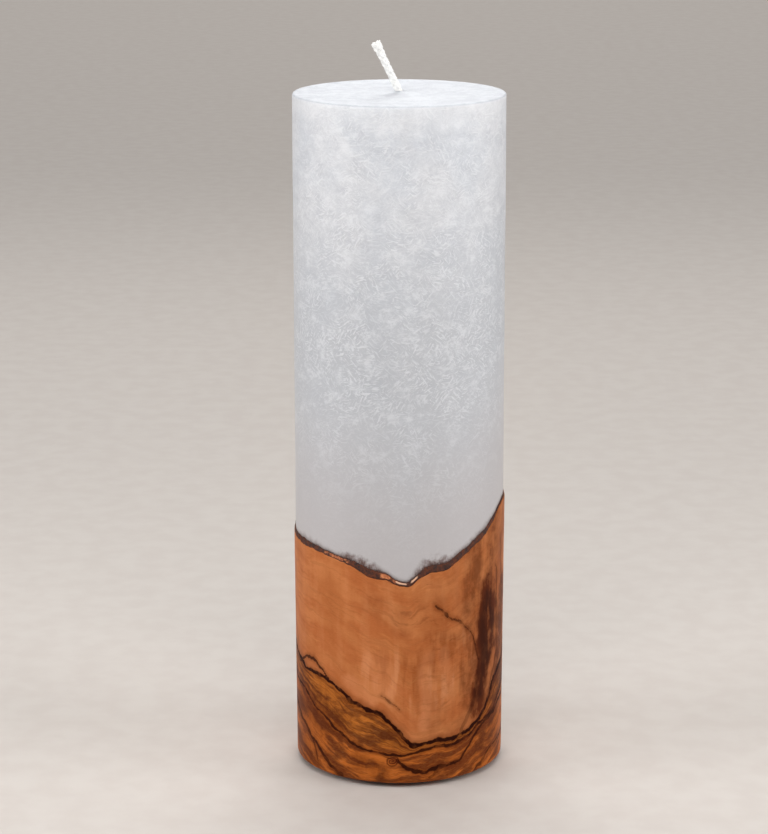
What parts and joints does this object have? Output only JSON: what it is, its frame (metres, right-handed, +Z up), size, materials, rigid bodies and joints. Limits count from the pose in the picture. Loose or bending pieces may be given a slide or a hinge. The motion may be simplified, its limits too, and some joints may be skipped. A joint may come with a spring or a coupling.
{
  "type": "unity candle",
  "caption": "Tall cylindrical pillar candle of crystal-frosted white wax on a turned olive-wood foot whose natural live edge keeps a dark line of bark; cotton wick leaning at the top",
  "frame": {"origin": "on the table, in the middle of the felt pad's underside, on the axis of the pillar", "axes": "+Z up along the pillar's axis; the front of the candle, with the lowest notch of the live edge, faces -Y; the wick leans towards -X"},
  "size_m": [0.071, 0.0708, 0.245],
  "materials": {
    "crystal_wax": "cast crystal wax, cool greyish white with feathery frost, faint silky sheen, slightly translucent",
    "olive_wood": "turned and sanded olive wood, dark brown veins, thin satin oil",
    "bark": "thin dark bark and cambium, rough",
    "wick_cotton": "braided white cotton, unburnt",
    "tinplate": "pressed tinned steel",
    "screw_steel": "zinc-plated steel",
    "felt": "short dark felt"
  },
  "bodies": {
    "root": {"wax_pillar": "crystal_wax", "olive_wood_base": "olive_wood", "bark_edge": "bark", "wick": "wick_cotton", "wick_sustainer": "tinplate", "anchor_screws": "screw_steel", "felt_pad": "felt"}
  },
  "joints": []
}
